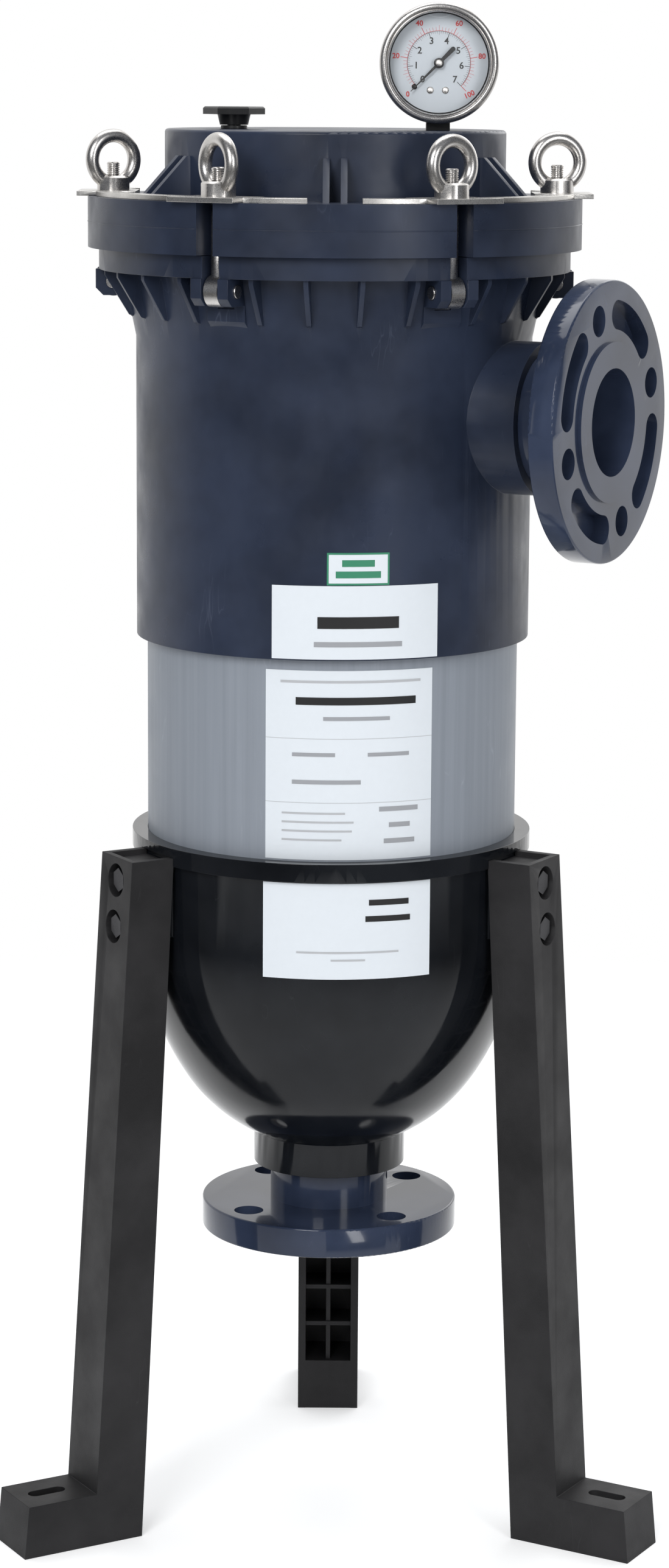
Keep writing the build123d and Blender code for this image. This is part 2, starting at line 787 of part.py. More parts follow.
# Two M8 hexagon screws hold each leg to the base
with BuildPart() as leg_bolts:
    for leg_azimuth in leg_azimuths.values():
        for bolt_height in leg_bolt_heights:
            seat = leg_outer(bolt_height) - counterbore_depth
            with BuildSketch(outward_plane(leg_azimuth, bolt_height, seat)):
                RegularPolygon(leg_bolt_head / sqrt(3), 6)
            extrude(amount=leg_bolt_head_height)
            with BuildSketch(outward_plane(leg_azimuth, bolt_height, leg_bolt_end)):
                Circle(bolt_radius)
            extrude(amount=seat - leg_bolt_end)
leg_bolts.part.label = "leg_bolts"
export_step(leg_bolts.part, "parts/leg_bolts.step")

# Bag seat, basket, bag and the hold-down that the lid presses on
with BuildPart() as basket_seat_ring:
    with BuildSketch(Plane.XY.offset(bag_ledge_height)):
        Circle(head_bore_radius - socket_clearance)
        Circle(seat_ring_inner, mode=Mode.SUBTRACT)
    extrude(amount=seat_ring_thickness)
basket_seat_ring.part.label = "basket_seat_ring"
export_step(basket_seat_ring.part, "parts/basket_seat_ring.step")

with BuildPart() as basket:
    with BuildSketch(Plane.XY.offset(basket_bottom)):
        Circle(basket_radius)
    extrude(amount=basket_flange_top - basket_bottom)
    with BuildSketch(Plane.XY.offset(basket_seat)):
        Circle(basket_flange_radius)
    extrude(amount=basket_flange_thickness)
    with BuildSketch(Plane.XY.offset(basket_bottom + basket_wall)):
        Circle(basket_radius - basket_wall)
    extrude(amount=basket_flange_top - basket_bottom, mode=Mode.SUBTRACT)
    for row in range(basket_rows):
        window_height = basket_bottom + basket_window_pitch * (row + 0.5)
        for column in range(basket_columns // 2):
            turn = 180 / (basket_columns // 2) * (column + 0.5 * (row % 2))
            with Locations(Location((0, 0, window_height), (0, 0, turn))):
                Box(
                    3 * basket_radius,
                    basket_window_width,
                    basket_window_height,
                    mode=Mode.SUBTRACT,
                )
basket.part.label = "basket"
export_step(basket.part, "parts/basket.step")

with BuildPart() as filter_bag:
    bag_bottom = basket_bottom + basket_wall + bag_clearance
    with BuildSketch(Plane.XY.offset(bag_bottom)):
        Circle(bag_radius)
    extrude(amount=basket_flange_top - bag_bottom)
    with BuildSketch(Plane.XY.offset(bag_bottom + bag_thickness)):
        Circle(bag_radius - bag_thickness)
    extrude(amount=basket_flange_top - bag_bottom, mode=Mode.SUBTRACT)
filter_bag.part.label = "filter_bag"
export_step(filter_bag.part, "parts/filter_bag.step")

with BuildPart() as bag_ring:
    with BuildSketch(Plane.XY.offset(basket_flange_top)):
        Circle(bag_ring_radius)
        Circle(bag_radius - bag_thickness, mode=Mode.SUBTRACT)
    extrude(amount=bag_ring_height)
    fillet(bag_ring.edges().group_by(Axis.Z)[-1], radius=bag_ring_round)
bag_ring.part.label = "bag_ring"
export_step(bag_ring.part, "parts/bag_ring.step")

with BuildPart() as hold_down:
    with BuildSketch(Plane.XY.offset(bag_ring_top)):
        Circle(hold_foot_outer)
        Circle(hold_foot_inner, mode=Mode.SUBTRACT)
    extrude(amount=hold_ring_height)
    with BuildSketch(Plane.XY.offset(head_flange_top)):
        Circle(hold_ring_outer)
        Circle(hold_ring_inner, mode=Mode.SUBTRACT)
        Rectangle(2 * (hold_ring_inner + hold_bar_overlap), hold_bar_width)
    extrude(amount=-hold_ring_height)
    with BuildSketch(Plane.XY.offset(bag_ring_top)):
        for post_azimuth in (0, 120, 240):
            with Locations(around(hold_post_circle, post_azimuth)):
                Circle(hold_post_radius)
    extrude(amount=head_flange_top - hold_ring_height - bag_ring_top)
hold_down.part.label = "hold_down"
export_step(hold_down.part, "parts/hold_down.step")

# Pressure gauge: its plane looks to the front, x to the right and y up
gauge_plane = Plane(origin=(gauge_x, gauge_front, gauge_height), x_dir=(1, 0, 0), z_dir=(0, -1, 0))
pointer_plane = Plane(
    origin=(gauge_x, gauge_front + pointer_depth, gauge_height),
    x_dir=(cos(radians(pointer_zero)), 0, sin(radians(pointer_zero))),
    z_dir=(0, -1, 0),
)

with BuildPart() as gauge_case:
    with BuildSketch(gauge_plane.offset(-case_depth)):
        Circle(case_radius)
    extrude(amount=case_depth - bezel_lip)
    fillet(gauge_case.edges().group_by(Axis.Y)[-1], radius=case_round)
    with BuildSketch(gauge_plane.offset(-case_depth + case_wall)):
        Circle(case_radius - case_wall)
    extrude(amount=case_depth, mode=Mode.SUBTRACT)
    with BuildSketch(gauge_plane.offset(-bezel_lip)):
        Circle(case_radius - case_wall / 2)
    extrude(amount=-lens_thickness, mode=Mode.SUBTRACT)
    with Locations((gauge_x, gauge_front + socket_depth, gauge_height - case_radius)):
        Box(socket_width, socket_width, case_radius, mode=Mode.SUBTRACT)
gauge_case.part.label = "gauge_case"
export_step(gauge_case.part, "parts/gauge_case.step")

with BuildPart() as gauge_bezel:
    with BuildSketch(gauge_plane.offset(-bezel_depth)):
        Circle(bezel_radius)
    extrude(amount=bezel_depth)
    fillet(gauge_bezel.edges().group_by(Axis.Y)[0], radius=bezel_round)
    with BuildSketch(gauge_plane.offset(-bezel_depth)):
        Circle(case_radius + socket_clearance)
    extrude(amount=bezel_depth - bezel_lip, mode=Mode.SUBTRACT)
    with BuildSketch(gauge_plane):
        Circle(bezel_opening)
    extrude(amount=-bezel_depth, mode=Mode.SUBTRACT)
gauge_bezel.part.label = "gauge_bezel"
export_step(gauge_bezel.part, "parts/gauge_bezel.step")

with BuildPart() as gauge_lens:
    with BuildSketch(gauge_plane.offset(-bezel_lip)):
        Circle(case_radius - case_wall / 2 - socket_clearance)
    extrude(amount=-lens_thickness)
gauge_lens.part.label = "gauge_lens"
export_step(gauge_lens.part, "parts/gauge_lens.step")

with BuildPart() as gauge_dial:
    with BuildSketch(gauge_plane.offset(-dial_depth)):
        Circle(dial_radius)
        Circle(pointer_shaft_radius + pointer_shaft_clearance, mode=Mode.SUBTRACT)
    extrude(amount=-dial_thickness)
gauge_dial.part.label = "gauge_dial"
export_step(gauge_dial.part, "parts/gauge_dial.step")

with BuildPart() as gauge_pointer:
    with BuildSketch(pointer_plane):
        Circle(pointer_hub_radius)
        with BuildLine():
            Polyline(
                (-pointer_tail, pointer_width),
                (-pointer_tail, -pointer_width),
                (0, -pointer_width / 2),
                (pointer_length, -pointer_width / 6),
                (pointer_length, pointer_width / 6),
                (0, pointer_width / 2),
                close=True,
            )
        make_face()
    extrude(amount=-pointer_thickness)
    with BuildSketch(gauge_plane.offset(-pointer_depth)):
        Circle(pointer_shaft_radius)
    extrude(amount=-(dial_depth - pointer_depth + pointer_shaft_length))
gauge_pointer.part.label = "gauge_pointer"
export_step(gauge_pointer.part, "parts/gauge_pointer.step")

with BuildPart() as gauge_socket:
    with Locations((gauge_x, gauge_front + socket_depth, lid_top)):
        Box(
            socket_width,
            socket_width,
            socket_top - lid_top,
            align=(Align.CENTER, Align.CENTER, Align.MIN),
        )
        Cylinder(
            socket_width / 2 - socket_thread_step - socket_clearance,
            lid_top - socket_end,
            align=(Align.CENTER, Align.CENTER, Align.MAX),
        )
        Cylinder(
            socket_bore_radius,
            lid_top - socket_end,
            align=(Align.CENTER, Align.CENTER, Align.MAX),
            mode=Mode.SUBTRACT,
        )
gauge_socket.part.label = "gauge_socket"
export_step(gauge_socket.part, "parts/gauge_socket.step")

with BuildPart() as gauge_movement:
    movement_front = dial_depth + dial_thickness
    with BuildSketch(gauge_plane.offset(-movement_front)):
        with Locations((0, socket_top - gauge_height)):
            Rectangle(
                socket_width, 2 * (gauge_height - socket_top), align=(Align.CENTER, Align.MIN)
            )
        Circle(pointer_shaft_radius + pointer_shaft_clearance, mode=Mode.SUBTRACT)
    extrude(amount=-(socket_depth + socket_width / 2 - movement_front))
gauge_movement.part.label = "gauge_movement"
export_step(gauge_movement.part, "parts/gauge_movement.step")

with BuildPart() as bourdon_tube:
    with BuildSketch(gauge_plane.offset(-socket_depth + tube_width / 2)):
        Circle(tube_circle_radius + tube_wall / 2)
        Circle(tube_circle_radius - tube_wall / 2, mode=Mode.SUBTRACT)
        with Locations((socket_width / 2, 0)):
            Rectangle(
                2 * socket_width,
                2 * tube_circle_radius,
                align=(Align.MAX, Align.MAX),
                mode=Mode.SUBTRACT,
            )
    extrude(amount=-tube_width)
bourdon_tube.part.label = "bourdon_tube"
export_step(bourdon_tube.part, "parts/bourdon_tube.step")

# Vent: threaded insert, sealing washer and a knob that opens it
with BuildPart() as vent_body:
    with Locations((vent_x, 0, lid_top)):
        Cylinder(
            vent_insert_radius - socket_clearance,
            lid_top - vent_insert_bottom,
            align=(Align.CENTER, Align.CENTER, Align.MAX),
        )
        Cylinder(
            vent_stem_radius + running_clearance,
            lid_top - vent_insert_bottom,
            align=(Align.CENTER, Align.CENTER, Align.MAX),
            mode=Mode.SUBTRACT,
        )
vent_body.part.label = "vent_body"
export_step(vent_body.part, "parts/vent_body.step")

with BuildPart() as vent_seal:
    with BuildSketch(Plane.XY.offset(lid_top)):
        with Locations((vent_x, 0)):
            Circle(vent_neck_radius - vent_washer_margin)
            Circle(vent_stem_radius + vent_washer_margin, mode=Mode.SUBTRACT)
    extrude(amount=vent_seal_thickness)
vent_seal.part.label = "vent_seal"
export_step(vent_seal.part, "parts/vent_seal.step")

with BuildPart() as vent_knob:
    hub_bottom = lid_top + vent_seal_thickness + seat_gap
    with Locations((vent_x, 0, hub_bottom)):
        Cone(
            vent_neck_radius,
            vent_hub_radius,
            vent_hub_top - hub_bottom,
            align=(Align.CENTER, Align.CENTER, Align.MIN),
        )
        Cylinder(
            vent_stem_radius,
            hub_bottom - vent_insert_bottom - vent_stem_short,
            align=(Align.CENTER, Align.CENTER, Align.MAX),
        )
    with BuildSketch(Plane.XY.offset(vent_hub_top)):
        with Locations((vent_x, 0)):
            RegularPolygon(vent_plate_radius, 6)
    extrude(amount=vent_plate_top - vent_hub_top)
    chamfer(vent_knob.edges().group_by(Axis.Z)[-1], length=vent_plate_chamfer)
vent_knob.part.label = "vent_knob"
export_step(vent_knob.part, "parts/vent_knob.step")
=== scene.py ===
import bpy
import bmesh
import json
import math
import numpy as np
from mathutils import Matrix, Vector


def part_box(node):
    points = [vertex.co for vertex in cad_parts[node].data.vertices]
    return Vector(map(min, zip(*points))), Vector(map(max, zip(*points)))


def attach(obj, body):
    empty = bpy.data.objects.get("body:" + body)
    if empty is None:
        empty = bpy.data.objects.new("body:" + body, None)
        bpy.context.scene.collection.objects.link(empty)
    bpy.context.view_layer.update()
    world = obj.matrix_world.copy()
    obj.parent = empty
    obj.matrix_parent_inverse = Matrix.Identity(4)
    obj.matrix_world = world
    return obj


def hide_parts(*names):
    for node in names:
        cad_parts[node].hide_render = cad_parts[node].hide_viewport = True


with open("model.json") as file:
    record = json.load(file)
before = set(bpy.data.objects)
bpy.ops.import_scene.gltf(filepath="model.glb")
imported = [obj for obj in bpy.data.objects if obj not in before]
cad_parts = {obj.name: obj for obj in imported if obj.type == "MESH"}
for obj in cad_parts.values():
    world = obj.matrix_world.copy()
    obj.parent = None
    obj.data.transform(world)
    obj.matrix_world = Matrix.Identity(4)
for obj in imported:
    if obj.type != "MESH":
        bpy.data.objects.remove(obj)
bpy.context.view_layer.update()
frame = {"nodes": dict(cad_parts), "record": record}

scene = bpy.context.scene
nodes = frame["nodes"]
slotOf = {s["node"]: s["material_slot"] for s in frame["record"]["subparts"]}
bodyOf = {n: body for body, members in frame["record"]["behaviour"]["bodies"].items() for n in members}
print("stage: frame loaded,", len(nodes), "pieces")


# camera, lamps and surroundings
cameraSet = {"place": (0.0019, -2.2907, 0.87915), "tilt": 10.525, "roll": 0.378, "lens": 87.06, "sensor": 36.0}
lamps = {
    "keyLight": {"place": (-1.1, -2.9, 2.2), "target": (0, 0, 0.55), "size": (1.2, 1.6), "power": 58},
    "fillLight": {"place": (1.5, -2.6, 1.4), "target": (0, 0, 0.45), "size": (0.7, 1.6), "power": 23},
    "topLight": {"place": (0.0, 0.5, 3.1), "target": (0, 0, 0.7), "size": (2.4, 1.6), "power": 34},
    "rearLight": {"place": (1.3, 2.4, 1.7), "target": (0, 0, 0.6), "size": (1.6, 1.6), "power": 12},
}
worldSet = {"strength": 0.50, "tint": (0.94, 0.965, 1.0),
            "mirrored": [(0.0, (0.13, 0.14, 0.16)), (0.36, (0.15, 0.16, 0.18)), (0.46, (0.02, 0.02, 0.025)),
                         (0.56, (0.04, 0.04, 0.04)), (0.62, (1, 1, 1)), (1.0, (1, 1, 1))]}


def fillInputs(tree, node, inputs):
    # each input is (socket, value): another node's output is linked, anything else is set
    for socket, value in inputs:
        if isinstance(value, bpy.types.NodeSocket):
            tree.links.new(value, node.inputs[socket])
        else:
            node.inputs[socket].default_value = value


def addNode(tree, kind, inputs=()):
    node = tree.nodes.new("ShaderNode" + kind)
    fillInputs(tree, node, inputs)
    return node


def combine(tree, operation, first, second):
    node = addNode(tree, "Math")
    node.operation = operation
    fillInputs(tree, node, [(0, first), (1, second)])
    return node.outputs[0]


def blendShaders(tree, factor, first, second):
    return addNode(tree, "MixShader", [(0, factor), (1, first), (2, second)]).outputs[0]


def ramp(tree, value, stops):
    node = addNode(tree, "ValToRGB", [(0, value)])
    elements = node.color_ramp.elements
    while len(elements) < len(stops):
        elements.new(0.5)
    for element, (position, colour) in zip(elements, stops):
        element.position = position
        element.color = (*colour, 1)
    return node.outputs[0]


def mapValue(tree, value, fromRange, toRange):
    return addNode(tree, "MapRange", [(0, value), ("From Min", fromRange[0]), ("From Max", fromRange[1]),
                                      ("To Min", toRange[0]), ("To Max", toRange[1])]).outputs[0]


def anyRay(tree, *kinds):
    # one where the ray is any of the kinds, by taking the larger of each pair
    rays = addNode(tree, "LightPath")
    total = rays.outputs[kinds[0]]
    for kind in kinds[1:]:
        total = combine(tree, "MAXIMUM", total, rays.outputs[kind])
    return total


def addCamera(s):
    data = bpy.data.cameras.new("camera")
    data.lens = s["lens"]
    data.sensor_width = s["sensor"]
    camera = bpy.data.objects.new("camera", data)
    turn = Matrix.Rotation(math.radians(90 - s["tilt"]), 4, "X") @ Matrix.Rotation(math.radians(s["roll"]), 4, "Z")
    camera.matrix_world = Matrix.Translation(s["place"]) @ turn
    scene.collection.objects.link(camera)
    scene.camera = camera


def addSoftLight(name, place, target, size, power):
    data = bpy.data.lights.new(name, "AREA")
    data.shape = "RECTANGLE"
    data.size, data.size_y = size
    data.energy = power
    light = bpy.data.objects.new(name, data)
    light.location = place
    light.rotation_euler = (Vector(target) - Vector(place)).to_track_quat("-Z", "Y").to_euler()
    scene.collection.objects.link(light)


def addWorld(s):
    # light falls from a soft grey; seen or looked through it is white, mirrored it is white behind and grey in front
    world = bpy.data.worlds.new("studio")
    scene.world = world
    world.use_nodes = True
    tree = world.node_tree
    tree.nodes.clear()
    parts = addNode(tree, "SeparateXYZ", [(0, addNode(tree, "TexCoord").outputs["Generated"])])
    gradient = ramp(tree, mapValue(tree, parts.outputs["Y"], (-1, 1), (0, 1)), s["mirrored"])
    mirrored = addNode(tree, "Background", [(0, gradient)]).outputs[0]
    soft = addNode(tree, "Background", [(0, (*s["tint"], 1)), (1, s["strength"])]).outputs[0]
    white = addNode(tree, "Background", [(0, (1, 1, 1, 1))]).outputs[0]
    unseen = blendShaders(tree, anyRay(tree, "Is Glossy Ray"), soft, mirrored)
    every = blendShaders(tree, anyRay(tree, "Is Camera Ray", "Is Transmission Ray"), unseen, white)
    addNode(tree, "OutputWorld", [(0, every)])


addCamera(cameraSet)
addWorld(worldSet)
for name, lamp in lamps.items():
    addSoftLight(name, **lamp)


# materials: every one is a principled shader with its own nodes
noiseRange = (0.3, 0.7)      # what most of a noise texture's values lie between
evenly = (1, 1, 1)
plasticSet = {"coatRoughness": 0.06, "specular": 0.28, "mottleScale": 16, "mottleRange": (0.35, 0.65),
              "darker": 0.78, "lighter": (1.35, 0.004), "rubbed": (2.4, 0.05), "scuffScale": 90,
              "roughScale": 34, "rougher": (-0.07, 0.09), "wave": (9, 0.25, 0.0012), "grain": (1500, 0.00012)}
pipeSet = {"specular": 0.16, "lineScale": 190, "lineStretch": (1, 1, 0.02), "darker": 0.93, "lighter": 1.06,
           "rubbed": 1.5, "scuffScale": 60, "scuffs": 0.5, "roughScale": 25, "rougher": (-0.05, 0.08),
           "lineBump": (0.2, 0.0002), "wave": (6, 0.2, 0.0015)}
steelSet = {"grainScale": 2600, "tintScale": 60, "tintRange": (0.35, 0.65), "darker": 0.86, "lighter": 1.1,
            "rougher": (-0.08, 0.14), "bump": (0.10, 0.00003)}
feltSet = {"roughness": 0.95, "sheen": 0.35, "sheenRoughness": 0.6, "fibreScale": 2200, "darker": 0.8,
           "fibreBump": (0.9, 0.0006), "lump": (130, 0.4, 0.0012)}
printSet = {"tintScale": 260, "darker": 0.96, "bumpScale": 1800, "bump": (0.08, 0.00005)}
glassSet = {"roughness": 0.03, "smears": (0.01, 0.04), "index": 1.2, "smearScale": 90}
floorSet = {"size": 14.0, "colour": (0.86, 0.86, 0.86), "roughness": 0.85, "glow": 0.36,
            "whiteFrom": (0.45, 1.5), "mirrorFrom": (-0.25, 0.15), "mirrorShare": (0.12, 1.0)}


def newShader(name, colour, roughness, metallic=0.0, sockets=()):
    material = bpy.data.materials.new(name)
    material.use_nodes = True
    tree = material.node_tree
    shader = tree.nodes["Principled BSDF"]
    shader.inputs["Base Color"].default_value = (*colour, 1)
    shader.inputs["Roughness"].default_value = roughness
    shader.inputs["Metallic"].default_value = metallic
    for socket, value in sockets:
        shader.inputs[socket].default_value = value
    return material, tree, shader


def noise(tree, scale, detail=4.0, roughness=0.55, stretch=evenly):
    # noise over the piece's own place, stretched along an axis by a small scale there
    place = addNode(tree, "TexCoord").outputs["Object"]
    mapping = addNode(tree, "Mapping", [(0, place), ("Scale", stretch)])
    return addNode(tree, "TexNoise", [("Vector", mapping.outputs[0]), ("Scale", scale), ("Detail", detail),
                                      ("Roughness", roughness)]).outputs["Fac"]


def tone(colour, share, extra=0.0):
    return tuple(min(1, c * share + extra) for c in colour)


def mixColour(tree, factor, first, second):
    ends = [(*colour, 1) if isinstance(colour, tuple) else colour for colour in (first, second)]
    node = addNode(tree, "Mix")
    node.data_type = "RGBA"
    fillInputs(tree, node, [(0, factor), (6, ends[0]), (7, ends[1])])
    return node.outputs[2]


def addBump(tree, shader, layers):
    # each layer is (height, strength, distance in metres), stacked one on the other
    below = []
    for height, strength, distance in layers:
        inputs = [("Strength", strength), ("Distance", distance), ("Height", height)] + below
        below = [("Normal", addNode(tree, "Bump", inputs).outputs[0])]
    tree.links.new(below[0][1], shader.inputs["Normal"])


def roughen(tree, shader, value, roughness, change):
    spread = (roughness + change[0], roughness + change[1])
    tree.links.new(mapValue(tree, value, noiseRange, spread), shader.inputs["Roughness"])


def scuffs(tree, scale, amount):
    # short thin rubs: the narrow band of a stretched noise, broken up by a second noise
    lines = noise(tree, scale, 2.0, 0.5, (1, 1, 0.12))
    narrow = ramp(tree, lines, [(0.495, (0, 0, 0)), (0.5, (1, 1, 1)), (0.505, (0, 0, 0))])
    return combine(tree, "MULTIPLY", narrow, mapValue(tree, noise(tree, scale * 0.2), (0.55, 0.7), (0, amount)))


def mouldedPlastic(name, colour, roughness, coat, grain, rub):
    s = plasticSet
    material, tree, shader = newShader(name, colour, roughness, sockets=[
        ("Coat Weight", coat), ("Coat Roughness", s["coatRoughness"]), ("Specular IOR Level", s["specular"])])
    mottle = mapValue(tree, noise(tree, s["mottleScale"]), s["mottleRange"], (0, 1))
    mottled = mixColour(tree, mottle, tone(colour, s["darker"]), tone(colour, *s["lighter"]))
    rubbed = mixColour(tree, scuffs(tree, s["scuffScale"], rub), mottled, tone(colour, *s["rubbed"]))
    tree.links.new(rubbed, shader.inputs["Base Color"])
    roughen(tree, shader, noise(tree, s["roughScale"]), roughness, s["rougher"])
    waveScale, *wave = s["wave"]
    grainScale, grainDepth = s["grain"]
    addBump(tree, shader, [(noise(tree, waveScale, 2), *wave), (noise(tree, grainScale, 2), grain, grainDepth)])
    return material


def extrudedPipe(name, colour, roughness):
    s = pipeSet
    material, tree, shader = newShader(name, colour, roughness, sockets=[("Specular IOR Level", s["specular"])])
    drawLines = noise(tree, s["lineScale"], 3, 0.6, s["lineStretch"])
    tint = mixColour(tree, mapValue(tree, drawLines, noiseRange, (0, 1)), tone(colour, s["darker"]),
                     tone(colour, s["lighter"]))
    rubbed = mixColour(tree, scuffs(tree, s["scuffScale"], s["scuffs"]), tint, tone(colour, s["rubbed"]))
    tree.links.new(rubbed, shader.inputs["Base Color"])
    roughen(tree, shader, noise(tree, s["roughScale"]), roughness, s["rougher"])
    waveScale, *wave = s["wave"]
    addBump(tree, shader, [(drawLines, *s["lineBump"]), (noise(tree, waveScale, 1), *wave)])
    return material


def brushedSteel(name, colour, roughness, stretch=evenly):
    s = steelSet
    material, tree, shader = newShader(name, colour, roughness, 1.0)
    grain = noise(tree, s["grainScale"], 3, 0.6, stretch)
    tint = mapValue(tree, noise(tree, s["tintScale"]), s["tintRange"], (0, 1))
    tree.links.new(mixColour(tree, tint, tone(colour, s["darker"]), tone(colour, s["lighter"])),
                   shader.inputs["Base Color"])
    roughen(tree, shader, grain, roughness, s["rougher"])
    addBump(tree, shader, [(grain, *s["bump"])])
    return material


def feltCloth(name, colour):
    s = feltSet
    material, tree, shader = newShader(name, colour, s["roughness"], sockets=[
        ("Sheen Weight", s["sheen"]), ("Sheen Roughness", s["sheenRoughness"])])
    fibres = noise(tree, s["fibreScale"], 6, 0.75)
    tree.links.new(mixColour(tree, mapValue(tree, fibres, noiseRange, (0, 1)), tone(colour, s["darker"]), colour),
                   shader.inputs["Base Color"])
    lumpScale, *lump = s["lump"]
    addBump(tree, shader, [(fibres, *s["fibreBump"]), (noise(tree, lumpScale, 3), *lump)])
    return material


def printed(name, colour, roughness):
    # painted or printed faces: the dial, the labels and their inks
    s = printSet
    material, tree, shader = newShader(name, colour, roughness)
    tree.links.new(mixColour(tree, noise(tree, s["tintScale"]), tone(colour, s["darker"]), colour),
                   shader.inputs["Base Color"])
    addBump(tree, shader, [(noise(tree, s["bumpScale"], 2), *s["bump"])])
    return material


def clearGlass(name):
    # for shadow rays the lens is simply open, so that the dial behind it stays lit
    s = glassSet
    material, tree, shader = newShader(name, (1, 1, 1), s["roughness"], sockets=[
        ("Transmission Weight", 1.0), ("IOR", s["index"])])
    smears = mapValue(tree, noise(tree, s["smearScale"]), noiseRange, s["smears"])
    tree.links.new(smears, shader.inputs["Roughness"])
    both = blendShaders(tree, anyRay(tree, "Is Shadow Ray", "Is Diffuse Ray"), shader.outputs[0],
                        addNode(tree, "BsdfTransparent").outputs[0])
    tree.links.new(both, tree.nodes["Material Output"].inputs[0])
    return material


def shadowFloor(name, s):
    # a pale floor with a low glow for seen and mirrored rays, which becomes plain white away from the object
    material, tree, shader = newShader(name, s["colour"], s["roughness"])
    place = addNode(tree, "TexCoord").outputs["Object"]
    distance = addNode(tree, "VectorMath", [(0, place)])
    distance.operation = "LENGTH"
    far = mapValue(tree, distance.outputs["Value"], s["whiteFrom"], (0, 1))
    behind = mapValue(tree, addNode(tree, "SeparateXYZ", [(0, place)]).outputs["Y"], s["mirrorFrom"],
                      s["mirrorShare"])
    mirrored = combine(tree, "MULTIPLY", anyRay(tree, "Is Glossy Ray"), behind)
    seen = combine(tree, "MAXIMUM", anyRay(tree, "Is Camera Ray", "Is Transmission Ray"), mirrored)
    glowing = addNode(tree, "Emission", [(1, mapValue(tree, seen, (0, 1), (0, s["glow"])))]).outputs[0]
    near = addNode(tree, "AddShader", [(0, shader.outputs[0]), (1, glowing)]).outputs[0]
    white = addNode(tree, "Emission", [(1, seen)]).outputs[0]
    share = combine(tree, "MULTIPLY", far, anyRay(tree, "Is Camera Ray", "Is Glossy Ray", "Is Transmission Ray"))
    tree.links.new(blendShaders(tree, share, near, white), tree.nodes["Material Output"].inputs[0])
    return material


# moulded plastics are given as colour, roughness, coat, grain and rubs; the names are the record's slots
finishes = {
    "moulded_body": mouldedPlastic("slateMoulding", (0.0160, 0.0225, 0.0420), 0.33, 0.0, 0.10, 0.45),
    "flange_plastic": mouldedPlastic("slateFlange", (0.0225, 0.0315, 0.0590), 0.12, 0.3, 0.02, 0.3),
    "grey_pipe": extrudedPipe("greyPipe", (0.232, 0.255, 0.290), 0.36),
    "black_body": mouldedPlastic("blackMoulding", (0.0040, 0.0050, 0.0070), 0.12, 0.1, 0.015, 0.2),
    "leg_plastic": mouldedPlastic("charcoalLeg", (0.0150, 0.0145, 0.0155), 0.55, 0.0, 0.55, 0.35),
    "stainless": brushedSteel("brightSteel", (0.62, 0.60, 0.58), 0.27),
    "dark_steel": brushedSteel("blackenedSteel", (0.055, 0.055, 0.06), 0.42),
    "silicone": mouldedPlastic("siliconeRed", (0.42, 0.09, 0.05), 0.55, 0.0, 0.2, 0.0),
    "gauge_black": mouldedPlastic("gaugeBlack", (0.012, 0.012, 0.013), 0.42, 0.1, 0.25, 0.2),
    "gauge_glass": clearGlass("gaugeGlass"),
    "dial_white": printed("dialWhite", (0.52, 0.56, 0.60), 0.6),
    "brass": brushedSteel("brassParts", (0.62, 0.44, 0.2), 0.35),
    "knob_black": mouldedPlastic("knobBlack", (0.0105, 0.0105, 0.0115), 0.38, 0.15, 0.3, 0.3),
    "basket_plastic": mouldedPlastic("naturalPlastic", (0.48, 0.48, 0.46), 0.45, 0.0, 0.05, 0.05),
    "felt": feltCloth("needleFelt", (0.72, 0.70, 0.64)),
}
plateSteel = brushedSteel("plateSteel", (0.60, 0.585, 0.56), 0.30, (1, 0.03, 1))
labelPaper = printed("labelPaper", (0.66, 0.70, 0.74), 0.45)
labelGreen = printed("labelGreen", (0.03, 0.22, 0.12), 0.45)
labelGrey = printed("labelGrey", (0.42, 0.43, 0.45), 0.45)
inkBlack = printed("inkBlack", (0.012, 0.012, 0.013), 0.5)
inkRed = printed("inkRed", (0.50, 0.03, 0.03), 0.5)
inkGrey = printed("inkGrey", (0.30, 0.31, 0.33), 0.5)
floorPaint = shadowFloor("floorPaint", floorSet)
print("stage: finishes made,", len(finishes))


# rigid pieces made from the CAD shapes
cadSet = {"merge": 2e-6, "flat": 0.05, "sharp": 32, "bevelSteps": 2}
edgeRounds = {
    "upper_body": 0.0008, "lid": 0.0008, "side_flange": 0.0009, "bottom_flange": 0.0009,
    "body_pipe": 0.0006, "lower_body": 0.0008, "leg_left": 0.0018, "leg_right": 0.0018, "leg_back": 0.0014,
    "leg_bolts": 0.0006, "hinge_pins": 0.0006, "vent_knob": 0.0005, "gauge_case": 0.0004,
    "gauge_socket": 0.0006, "hold_down": 0.0006, "basket": 0.0004, "bag_ring": 0.0,
    "basket_seat_ring": 0.0005, "lid_o_ring": 0.0,
}
plateRound, nutRound, sealRound = 0.0003, 0.0004, 0.0003
keptShapes = {"gauge_lens": "gauge_glass", "gauge_dial": "dial_white", "gauge_movement": "brass",
              "bourdon_tube": "brass", "vent_body": "stainless"}


def addPiece(name, mesh, material, body, standsFor=()):
    mesh.materials.clear()
    mesh.materials.append(material)
    piece = bpy.data.objects.new(name, mesh)
    scene.collection.objects.link(piece)
    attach(piece, body)
    if standsFor:
        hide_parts(*standsFor)
    return piece


def mergedCopy(node):
    mesh = nodes[node].data.copy()
    work = bmesh.new()
    work.from_mesh(mesh)
    bmesh.ops.remove_doubles(work, verts=work.verts, dist=cadSet["merge"])
    return mesh, work


def finishCopy(mesh, work):
    work.to_mesh(mesh)
    work.free()
    mesh.shade_smooth()
    mesh.set_sharp_from_angle(angle=math.radians(cadSet["sharp"]))


